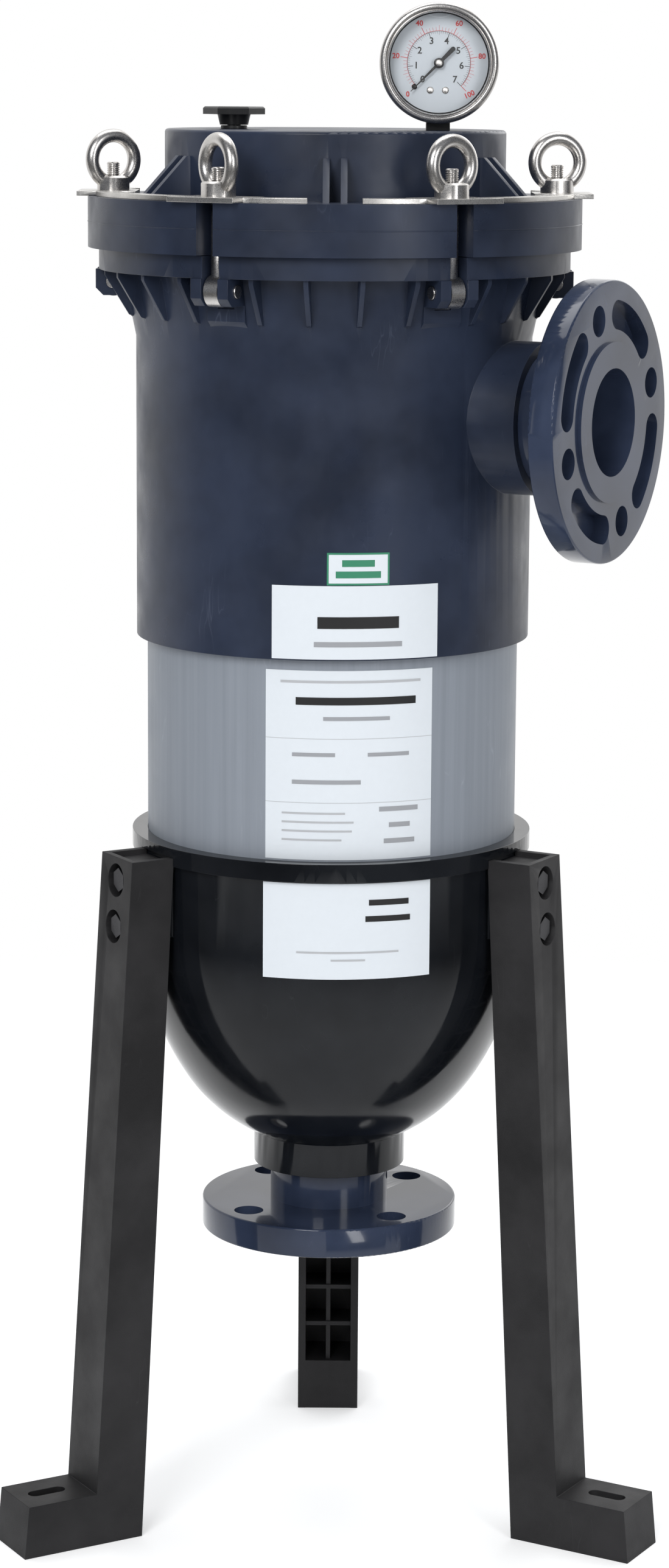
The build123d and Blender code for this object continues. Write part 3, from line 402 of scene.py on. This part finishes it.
def softCopy(node, bevel, material=None):
    # a copy of the CAD shape with merged corners, flat faces rejoined, small rounded edges and smooth curves
    mesh, work = mergedCopy(node)
    bmesh.ops.dissolve_limit(work, angle_limit=math.radians(cadSet["flat"]), verts=work.verts, edges=work.edges)
    finishCopy(mesh, work)
    slotName = slotOf[node]
    piece = addPiece(node + "Finished", mesh, material or finishes[slotName], bodyOf[node], (node,))
    if bevel:
        modifier = piece.modifiers.new("edges", "BEVEL")
        modifier.width = bevel
        modifier.segments = cadSet["bevelSteps"]
        modifier.limit_method = "ANGLE"
        modifier.angle_limit = math.radians(cadSet["sharp"])
        modifier.harden_normals = True


for node, width in edgeRounds.items():
    softCopy(node, width)
for number in range(1, 4):
    softCopy(f"locking_plate_{number}", plateRound, plateSteel)
for number in range(1, 7):
    softCopy(f"eye_nut_{number}", nutRound)
for node, finish in keptShapes.items():
    nodes[node].data.materials.clear()
    nodes[node].data.materials.append(finishes[finish])
softCopy("vent_seal", sealRound, finishes["gauge_black"])
print("stage: CAD shapes finished")


def gridMesh(name, points, closeAround=True, closeAlong=False):
    # points is rows x columns x 3: rows run around when closed, columns run along
    rows, columns = points.shape[:2]
    index = np.arange(rows * columns).reshape(rows, columns)
    if closeAround:
        index = np.vstack([index, index[:1]])
    if closeAlong:
        index = np.hstack([index, index[:, :1]])
    faces = np.stack([index[:-1, :-1], index[1:, :-1], index[1:, 1:], index[:-1, 1:]], -1).reshape(-1, 4)
    mesh = bpy.data.meshes.new(name)
    mesh.from_pydata(points.reshape(-1, 3).tolist(), [], faces.tolist())
    mesh.shade_smooth()
    return mesh


def upright(radius, angle, height, centre=(0, 0)):
    # points at a radius and angle round an upright axis; the three arrays are spread over one another
    radius, angle, height = np.broadcast_arrays(radius, angle, height)
    return np.stack([centre[0] + radius * np.cos(angle), centre[1] + radius * np.sin(angle), height], -1)


# swing bolts: eye and neck stay as made, the upper shank carries a rolled thread
boltSet = {"pitch": 0.00125, "depth": 0.0007, "threadLength": 0.026, "crest": 0.00395, "pointed": 0.0008,
           "around": 28, "perPitch": 6}


def threadMesh(name, centre, low, high, s):
    # radius falls and rises with height minus the turn's share of one pitch, and fades in at both ends
    angle = np.linspace(0, 2 * np.pi, s["around"], endpoint=False)[:, None]
    height = np.linspace(low, high, int((high - low) / s["pitch"] * s["perPitch"]))[None, :]
    wave = np.abs(((height / s["pitch"] - angle / (2 * np.pi)) % 1.0) * 2 - 1)
    ends = np.clip((high - height) / (2 * s["pitch"]), 0, 1) * np.clip((height - low) / (2 * s["pitch"]), 0, 1)
    radius = s["crest"] - s["depth"] * wave * ends
    above = height - (high - s["pointed"])
    radius = np.where(above > 0, np.minimum(radius, s["crest"] - above), radius)
    caps = [upright(0, angle, end, centre) for end in (low, high)]
    return gridMesh(name, np.concatenate([caps[0], upright(radius, angle, height, centre), caps[1]], 1))


def swingBolt(number, s):
    node = f"swing_bolt_{number}"
    low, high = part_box(node)
    centre = ((low.x + high.x) / 2, (low.y + high.y) / 2)
    split = high.z - s["threadLength"]
    mesh, work = mergedCopy(node)
    cut = bmesh.ops.bisect_plane(work, geom=work.verts[:] + work.edges[:] + work.faces[:],
                                 plane_co=(0, 0, split), plane_no=(0, 0, 1), clear_outer=True)
    rim = [e for e in cut["geom_cut"] if isinstance(e, bmesh.types.BMEdge)]
    bmesh.ops.contextual_create(work, geom=rim)
    finishCopy(mesh, work)
    thread = threadMesh(node + "Thread", centre, split, high.z, s)
    addPiece(node + "Eye", mesh, finishes["stainless"], bodyOf[node], (node,))
    addPiece(node + "Thread", thread, finishes["stainless"], bodyOf[node], (node,))


for number in range(1, 7):
    swingBolt(number, boltSet)
print("stage: swing bolts threaded")


# lid: a moulded parting line round the ring, in six lengths between the bolt slots
partingSet = {"level": 0.7955, "height": 0.0007, "proud": 0.00035, "lengths": 6, "slotHalf": 0.0062,
              "steps": 40, "around": 8}


def partingLine(s):
    # a small oval section carried along each arc, drawn to a point at both ends
    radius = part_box("lid")[1].x
    half = np.pi / s["lengths"] - s["slotHalf"] / radius
    section = np.linspace(0, 2 * np.pi, s["around"], endpoint=False)[None, :]
    for number in range(s["lengths"]):
        turn = number * 2 * np.pi / s["lengths"] - np.pi / 2
        angle = turn + np.linspace(-half, half, s["steps"])[:, None]
        points = upright(radius + s["proud"] * np.cos(section), angle, s["level"] + s["height"] / 2 * np.sin(section))
        ends = [np.broadcast_to(end.mean(1, keepdims=True), end.shape) for end in (points[:1], points[-1:])]
        mesh = gridMesh(f"partingLine{number}", np.concatenate([ends[0], points, ends[1]]), False, True)
        mesh.flip_normals()
        addPiece(f"partingLine{number}", mesh, finishes["moulded_body"], "lid")


partingLine(partingSet)


# felt bag: one shell with soft folds, a rounded foot and a flat bottom, and a lapped seam inside
bagSet = {"rows": 120, "columns": 220, "thickness": 0.0022, "clear": 0.0001, "corner": 0.012, "cornerSteps": 8,
          "bottom": (0.12, 0.97, 10), "wrinkle": 0.0011, "waves": 9, "drift": 14, "fineWaves": 41,
          "seamWidth": 0.007, "seamThickness": 0.001, "seamIn": 0.0008, "seamTop": 0.001, "seamColumns": 9}


def bagRadius(angle, height, low, radius, s):
    # the full radius less soft folds: two slow waves round the bag that drift with height, and a finer one
    rise = (height - low) * s["drift"]
    slow = 0.25 * np.sin(s["waves"] * angle + rise) + 0.15 * np.sin((s["waves"] * 2 - 1) * angle - rise * 2.3)
    fine = 0.1 * np.sin(s["fineWaves"] * angle + 3 * np.sin(rise * 3))
    return radius - s["wrinkle"] * np.clip(0.5 + slow + fine, 0, 1)


def filterBag(s):
    # down the outside from the middle of the bottom to the mouth, and back down the inside
    low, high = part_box("filter_bag")
    radius = high.x - s["clear"]
    foot = low.z + s["corner"]
    angle = np.linspace(0, 2 * np.pi, s["columns"], endpoint=False)[:, None]
    turn = np.linspace(0, np.pi / 2, s["cornerSteps"])
    inset = np.concatenate([s["corner"] * (1 - np.sin(turn)), np.zeros(s["rows"])])[None, :]
    height = np.concatenate([foot - s["corner"] * np.cos(turn), np.linspace(foot, high.z, s["rows"] + 1)[1:]])[None, :]
    outer = bagRadius(angle, height, low.z, radius, s) - inset
    inner = outer - s["thickness"]
    innerHeight = height + s["thickness"] * (inset / s["corner"])
    shares = np.linspace(*s["bottom"])[None, :]
    floorHeight = low.z + s["thickness"]
    points = np.concatenate([
        upright(0, angle, low.z), upright(outer[:, :1] * shares, angle, low.z), upright(outer, angle, height),
        upright(inner, angle, innerHeight)[:, ::-1], upright(inner[:, :1] * shares[:, ::-1], angle, floorHeight),
        upright(0, angle, floorHeight)], 1)
    bag = addPiece("bagSleeve", gridMesh("bagSleeve", points), finishes["felt"], "basket", ("filter_bag",))
    seam = seamLine(low, high, radius, s)


def seamLine(low, high, radius, s):
    # a narrow lap that follows the folds down the inside of the bag
    angle = np.linspace(-0.5, 0.5, s["seamColumns"])[:, None] * s["seamWidth"] / radius - math.pi / 2
    height = np.linspace(low.z + s["corner"], high.z - s["seamTop"], s["rows"])[None, :]
    inside = bagRadius(angle, height, low.z, radius, s) - s["thickness"] - s["seamIn"]
    lap, back = upright(inside, angle, height), upright(inside + s["seamThickness"], angle, height)
    mesh = gridMesh("bagSeam", np.concatenate([lap, back[::-1]], 0))
    return addPiece("bagSeam", mesh, finishes["felt"], "basket", ("filter_bag",))


filterBag(bagSet)
print("stage: bag sewn")


# labels: thin sheets on the curved faces, with rules, and bars where a label has its lines of print;
# azimuths are in degrees from the front, and each bar is (left, right, low, high) in shares of its label
labelSet = {
    "passLabel": {"azimuth": (-1.6, 16.0), "height": (0.5922, 0.6110), "radius": 0.1190, "frame": 0.0011,
                  "bars": [(0.24, 0.76, 0.57, 0.78, labelGreen), (0.14, 0.86, 0.22, 0.43, labelGreen)]},
    "headLabel": {"azimuth": (-17.1, 30.9), "height": (0.5488, 0.5917), "radius": 0.1190,
                  "bars": [(0.27, 0.75, 0.42, 0.58, inkBlack), (0.25, 0.77, 0.17, 0.24, inkGrey)]},
    "pipeLabel": {"azimuth": (-20.0, 31.4), "height": (0.4290, 0.5412), "radius": 0.1125, "rules": (0.4630, 0.5010),
                  "bars": [(0.09, 0.92, 0.935, 0.948, labelGrey), (0.18, 0.89, 0.82, 0.86, inkBlack),
                           (0.34, 0.73, 0.738, 0.758, inkGrey), (0.16, 0.41, 0.548, 0.568, inkGrey),
                           (0.60, 0.85, 0.548, 0.568, inkGrey), (0.16, 0.56, 0.402, 0.424, inkGrey),
                           (0.67, 0.91, 0.255, 0.280, inkGrey), (0.73, 0.86, 0.170, 0.195, inkGrey),
                           (0.70, 0.89, 0.085, 0.110, inkGrey), (0.10, 0.47, 0.242, 0.252, labelGrey),
                           (0.10, 0.52, 0.195, 0.205, labelGrey), (0.10, 0.51, 0.148, 0.158, labelGrey),
                           (0.10, 0.45, 0.101, 0.111, labelGrey)]},
    "baseLabel": {"azimuth": (-19.5, 29.6), "height": (0.3585, 0.4160), "radius": 0.1185,
                  "bars": [(0.62, 0.86, 0.77, 0.83, inkBlack), (0.60, 0.87, 0.60, 0.66, inkBlack),
                           (0.20, 0.80, 0.27, 0.29, labelGrey), (0.40, 0.60, 0.19, 0.21, labelGrey)]},
}
sheetSet = {"sunk": 0.0001, "lift": 0.00032, "ruleLift": 0.0003, "barLift": 0.0004, "ruleHalf": 0.00015,
            "around": 33, "up": 5}


def curvedPatch(name, azimuth, height, radius, lift, material):
    # a thin closed sheet on a cylinder: azimuth across, height up, with an outer and an inner face
    angle = np.radians(np.linspace(*azimuth, sheetSet["around"]))[:, None] - np.pi / 2
    z = np.linspace(*height, sheetSet["up"])[None, :]
    outer, inner = upright(radius + lift, angle, z), upright(radius, angle, z)
    rows, columns = outer.shape[:2]
    count = rows * columns
    index = np.arange(count).reshape(rows, columns)
    front = np.stack([index[:-1, :-1], index[1:, :-1], index[1:, 1:], index[:-1, 1:]], -1).reshape(-1, 4)
    back = front[:, ::-1] + count
    rim = np.concatenate([index[:, 0], index[-1, 1:], index[-2::-1, -1], index[0, -2:0:-1]])
    following = np.roll(rim, -1)
    sides = np.stack([rim, rim + count, following + count, following], -1)
    mesh = bpy.data.meshes.new(name)
    mesh.from_pydata(np.concatenate([outer.reshape(-1, 3), inner.reshape(-1, 3)]).tolist(), [],
                     np.concatenate([front, back, sides]).tolist())
    mesh.shade_smooth()
    mesh.set_sharp_from_angle(angle=math.radians(40))
    addPiece(name, mesh, material, "housing")


def between(span, low, high):
    return span[0] + (span[1] - span[0]) * low, span[0] + (span[1] - span[0]) * high


def layLabel(name, s, sheet):
    azimuth, height, radius = s["azimuth"], s["height"], s["radius"]
    frameWidth = s.get("frame", 0)
    curvedPatch(name, azimuth, height, radius - sheet["sunk"], sheet["lift"], labelGreen if frameWidth else labelPaper)
    if frameWidth:
        inset = math.degrees(frameWidth / radius)
        curvedPatch(name + "Face", (azimuth[0] + inset, azimuth[1] - inset),
                    (height[0] + frameWidth, height[1] - frameWidth), radius, sheet["lift"], labelPaper)
    for number, rule in enumerate(s.get("rules", ())):
        curvedPatch(f"{name}Rule{number}", azimuth, (rule - sheet["ruleHalf"], rule + sheet["ruleHalf"]), radius,
                    sheet["ruleLift"], labelGrey)
    for number, (left, right, low, high, ink) in enumerate(s["bars"]):
        curvedPatch(f"{name}Bar{number}", between(azimuth, left, right), between(height, low, high), radius,
                    sheet["barLift"], ink)


for name, s in labelSet.items():
    layLabel(name, s, sheetSet)
print("stage: labels laid")


# gauge: printed scales, pointer, stop, two screws, polished bezel and a painted highlight along the edge of the air
# space in the filling;
# a scale's ticks run from its root to a long, middling or short tip
dialSet = {"print": 0.00012, "weight": 0.00009, "start": 225.0, "sweep": 270.0, "arcSteps": 90, "boldTick": 0.00034}
scaleSet = {
    "blackScale": {"arc": 0.01842, "arcWidth": 0.00014, "root": 0.0184, "tips": (0.0153, 0.0163, 0.0171),
                   "fineTick": 0.00014, "divisions": 70, "raised": 1.0, "ink": inkBlack, "numbers": "number",
                   "values": range(0, 8), "radius": 0.0134, "size": 0.0055, "lastTurn": 0},
    "redScale": {"arc": 0.0187, "arcWidth": 0.00018, "root": 0.0187, "tips": (0.0229, 0.0219, 0.0209),
                 "fineTick": 0.00016, "divisions": 50, "raised": 0.8, "ink": inkRed, "numbers": "outerNumber",
                 "values": range(0, 101, 20), "radius": 0.0256, "size": 0.0043, "lastTurn": 25},
}
studSet = {"dialScrewLeft": (-0.0049, -0.0157, 0.0021, "stainless"),
           "dialScrewRight": (0.0040, -0.0157, 0.0021, "stainless"),
           "stopPin": (-0.0142, -0.0137, 0.0016, "gauge_black")}
studHeight, studTurns = 0.0012, 28
pointerSet = {"angle": 225, "thickness": 0.0006, "tip": (0.0233, 0.0002), "waist": (0.003, 0.0008), "tail": 0.0116,
              "tailHalf": 0.00135, "hubBase": -0.0004, "hubTurns": 40, "buttonTurns": 32,
              "hub": [(0, 0.0009), (0.0026, 0.0009), (0.0030, 0.0006)],
              "button": [(0, 0), (0, 0.0017), (0.0012, 0.0015), (0.0019, 0.0010), (0.0019, 0)]}
bezelSet = {"roll": 0.0028, "rollTurn": 100, "foot": (0.0004, 0.0006), "wall": 0.0016, "opening": 0.0296,
            "groove": [(0.0037, 0.0005), (0.0042, 0.0008), (0.0048, 0.0004), (0.0052, 0.0009), (0.0056, 0.0030)],
            "lip": (0.0038, 0.0044), "turns": 128, "gasketTurns": 96,
            "gasket": [(0.0287, 0.0052), (0.0287, 0.0042), (0.0294, 0.0036), (0.0299, 0.0038), (0.0299, 0.0052)]}
fillingHighlightSet = {"half": 0.0072, "height": 0.0262, "sag": 0.0019, "width": 0.00035, "lift": 0.002, "thickness": 0.0002,
              "steps": 25}
gaugeLow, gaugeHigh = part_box("gauge_dial")
gaugeCentre = Vector(((gaugeLow.x + gaugeHigh.x) / 2, gaugeLow.y, (gaugeLow.z + gaugeHigh.z) / 2))


def dialPoints(radius, degrees):
    # points in the dial's plane as (across, up), with angles from the right
    angle = np.radians(degrees)
    return np.stack([radius * np.cos(angle), radius * np.sin(angle)], -1)


def onDial(points, lift):
    # points in the dial's plane, or profile points, set in front of the dial by lift
    across, up, lift = np.broadcast_arrays(points[..., 0], points[..., 1], lift)
    return np.stack([gaugeCentre.x + across, gaugeCentre.y - lift, gaugeCentre.z + up], -1)


def dialShape(name, outlines, lift, thickness, material, body="lid", standsFor=()):
    # flat outlines, an array of outline x corner x (across, up), each given a back, a front and sides
    many, corners = outlines.shape[:2]
    index = np.arange(many * corners).reshape(many, corners)
    over = index + many * corners
    sides = np.stack([index, np.roll(index, -1, 1), np.roll(over, -1, 1), over], -1).reshape(-1, 4)
    flat = outlines.reshape(-1, 2)
    points = np.concatenate([onDial(flat, lift), onDial(flat, lift + thickness)])
    mesh = bpy.data.meshes.new(name)
    mesh.from_pydata(points.tolist(), [], index[:, ::-1].tolist() + over.tolist() + sides.tolist())
    addPiece(name, mesh, material, body, standsFor)


def tickOutlines(degrees, inner, outer, width):
    start, end, side = dialPoints(inner, degrees), dialPoints(outer, degrees), dialPoints(width / 2, degrees + 90)
    return np.stack([start - side, end - side, end + side, start + side], 1)


def arcOutlines(radius, width, dial):
    degrees = dial["start"] - dial["sweep"] * np.linspace(0, 1, dial["arcSteps"] + 1)
    outer, inner = dialPoints(radius + width / 2, degrees), dialPoints(radius - width / 2, degrees)
    return np.stack([outer[1:], outer[:-1], inner[:-1], inner[1:]], 1)


def dialScale(name, s, dial):
    step = np.arange(s["divisions"] + 1)
    tip = np.array(s["tips"])[np.where(step % 10 == 0, 0, np.where(step % 5 == 0, 1, 2))]
    width = np.where(step % 10 == 0, dial["boldTick"], s["fineTick"])
    degrees = dial["start"] - dial["sweep"] * step / s["divisions"]
    ticks = tickOutlines(degrees, np.minimum(s["root"], tip), np.maximum(s["root"], tip), width)
    outlines = np.concatenate([arcOutlines(s["arc"], s["arcWidth"], dial), ticks])
    dialShape(name, outlines, 0, dial["print"] * s["raised"], s["ink"])


def dialText(name, words, spot, size, turn, material):
    curve = bpy.data.curves.new(name, "FONT")
    curve.body = words
    curve.size = size
    curve.align_x = "CENTER"
    curve.align_y = "CENTER"
    curve.extrude = dialSet["print"] / 2
    curve.offset = dialSet["weight"]
    curve.resolution_u = 3
    holder = bpy.data.objects.new(name, curve)
    scene.collection.objects.link(holder)
    bpy.context.view_layer.update()
    mesh = bpy.data.meshes.new_from_object(holder.evaluated_get(bpy.context.evaluated_depsgraph_get()))
    bpy.data.objects.remove(holder)
    place = Matrix.Translation(onDial(spot, dialSet["print"]))
    mesh.transform(place @ Matrix.Rotation(math.radians(90), 4, "X") @ Matrix.Rotation(math.radians(turn), 4, "Z"))
    addPiece(name, mesh, material, "lid")


def dialNumbers(s, dial):
    last = s["values"][-1]
    for value in s["values"]:
        spot = dialPoints(s["radius"], dial["start"] - dial["sweep"] * value / last)
        dialText(f"{s['numbers']}{value}", str(value), spot, s["size"], s["lastTurn"] if value == last else 0, s["ink"])


def faceTurned(name, profile, spot, material, body="lid", standsFor=(), turns=96):
    # a closed profile of (radius, distance in front of the dial) carried round an axis that faces the front
    radius, lift = np.asarray(profile, float).T
    degrees = np.linspace(0, 360, turns, endpoint=False)[:, None]
    mesh = gridMesh(name, onDial(dialPoints(radius, degrees) + spot, lift), closeAlong=True)
    mesh.set_sharp_from_angle(angle=math.radians(50))
    addPiece(name, mesh, material, body, standsFor)


def roundStud(name, x, y, radius, slotName):
    # a low dome, steeper towards its edge
    share = np.array([0, 0, 0.35, 0.7, 0.92, 1.0, 1.0])
    lift = np.array([0, 1, 0.94, 0.72, 0.42, 0.2, 0.0])
    faceTurned(name, np.stack([share * radius, lift * studHeight], 1), (x, y), finishes[slotName], turns=studTurns)


def pointerPiece(s):
    # a long thin point on one side and a round-ended bar on the other, on a black hub with a plain button
    lift = gaugeCentre.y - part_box("gauge_pointer")[0].y - s["thickness"]
    turn = np.radians(np.linspace(90, 270, 13))
    tail = s["tailHalf"] * np.stack([np.cos(turn), np.sin(turn)], 1) - (s["tail"], 0)
    (tip, tipHalf), (waist, waistHalf) = s["tip"], s["waist"]
    outline = np.concatenate([[(tip, -tipHalf), (tip, tipHalf), (waist, waistHalf)], tail, [(waist, -waistHalf)]])
    blade = outline[:, :1] * dialPoints(1, s["angle"]) + outline[:, 1:] * dialPoints(1, s["angle"] + 90)
    base = s["hubBase"]
    hub = np.array([(0, base)] + s["hub"] + [(s["hub"][-1][0], base)]) + (0, lift)
    button = np.array(s["button"]) + (0, lift)
    dialShape("pointerBlade", blade[None], lift, s["thickness"], finishes["gauge_black"], "gauge_pointer",
              ("gauge_pointer",))
    faceTurned("pointerHub", hub, (0, 0), finishes["gauge_black"], "gauge_pointer",
               ("gauge_pointer",), s["hubTurns"])
    faceTurned("pointerButton", button, (0, 0), finishes["stainless"], "gauge_pointer",
               ("gauge_pointer",), s["buttonTurns"])


def bezelPiece(s):
    # outer roll, shallow groove and inner lip, from the side wall round to the opening and back
    low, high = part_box("gauge_bezel")
    depth, face = gaugeCentre.y - high.y, gaugeCentre.y - low.y
    rim = (high.x - low.x) / 2
    turn = np.radians(np.linspace(0, s["rollTurn"], 9))
    roll = s["roll"] * np.stack([np.cos(turn), np.sin(turn)], 1) + (rim - s["roll"], face - s["roll"])
    groove = np.array([rim, face]) - s["groove"]
    chamfer = [(rim - s["foot"][0], depth), (rim, depth + s["foot"][1])]
    lip = [(s["opening"], face - s["lip"][0]), (s["opening"], face - s["lip"][1])]
    wall = [(rim - s["wall"], face - s["lip"][1]), (rim - s["wall"], depth)]
    gasket = [(radius, face - back) for radius, back in s["gasket"]]
    faceTurned("bezelRing", np.concatenate([chamfer, roll, groove, lip, wall]), (0, 0), finishes["stainless"], "lid",
               ("gauge_bezel",), s["turns"])
    faceTurned("bezelGasket", gasket, (0, 0), finishes["gauge_black"], "lid", (), s["gasketTurns"])


def fillingLine(s):
    # painted highlight: a thin white strip along the lower rim of the air space left at the top of the filled gauge;
    # height grows with the square of the reach
    chord = np.linspace(-1, 1, s["steps"])
    under = np.stack([s["half"] * chord, s["height"] + s["sag"] * chord ** 2], 1)
    outline = np.concatenate([under, under[::-1] + (0, s["width"])])
    # the strip is a painted highlight, a white sheet where the liquid's edge catches the light
    dialShape("fillingLine", outline[None], s["lift"], s["thickness"], labelPaper)


for name, s in scaleSet.items():
    dialScale(name, s, dialSet)
for s in scaleSet.values():
    dialNumbers(s, dialSet)
for name, stud in studSet.items():
    roundStud(name, *stud)
pointerPiece(pointerSet)
bezelPiece(bezelSet)
fillingLine(fillingHighlightSet)
print("stage: gauge printed")


def addFloor(size):
    half = size / 2
    mesh = bpy.data.meshes.new("floor")
    mesh.from_pydata([(-half, -half, 0), (half, -half, 0), (half, half, 0), (-half, half, 0)], [], [(0, 1, 2, 3)])
    mesh.materials.append(floorPaint)
    floor = bpy.data.objects.new("floor", mesh)
    scene.collection.objects.link(floor)


addFloor(floorSet["size"])
scene.view_settings.view_transform = "Standard"
